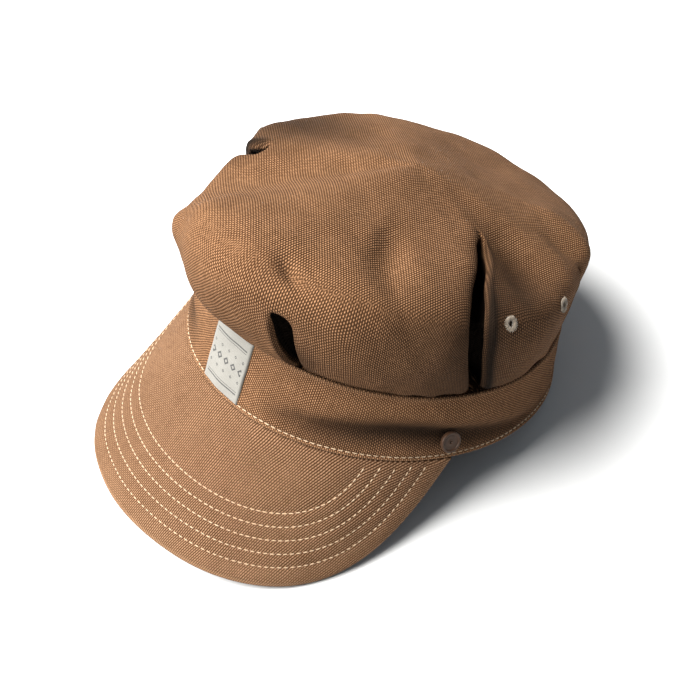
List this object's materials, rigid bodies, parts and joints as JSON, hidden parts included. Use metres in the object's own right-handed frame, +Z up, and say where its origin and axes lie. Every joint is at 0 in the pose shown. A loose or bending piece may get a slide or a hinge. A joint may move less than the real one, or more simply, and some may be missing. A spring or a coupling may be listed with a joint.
{
  "type": "railroad engineer cap",
  "caption": "Canvas railroad engineer cap: pleated one-piece crown, upright band with a front label, and a short curved stitched visor.",
  "frame": {"origin": "middle of the bounding box in plan, on the surface that the cap rests on", "axes": "+Z up, -Y the way the wearer looks, +X the wearer's left; the cap stands on its visor and the rear of its hem"},
  "size_m": [0.1864, 0.2658, 0.1605],
  "materials": {
    "canvas": "matte brown duck canvas, plain weave",
    "woven_label": "fine off-white woven tape with black figuring",
    "button_resin": "satin brown resin",
    "thread": "cream cotton thread"
  },
  "bodies": {
    "root": {"crown": "canvas", "band": "canvas", "visor": "canvas", "label": "woven_label", "button_left": "button_resin", "button_right": "button_resin", "eyelet_left_front": "thread", "eyelet_left_rear": "thread", "eyelet_right_front": "thread", "eyelet_right_rear": "thread"}
  },
  "joints": []
}
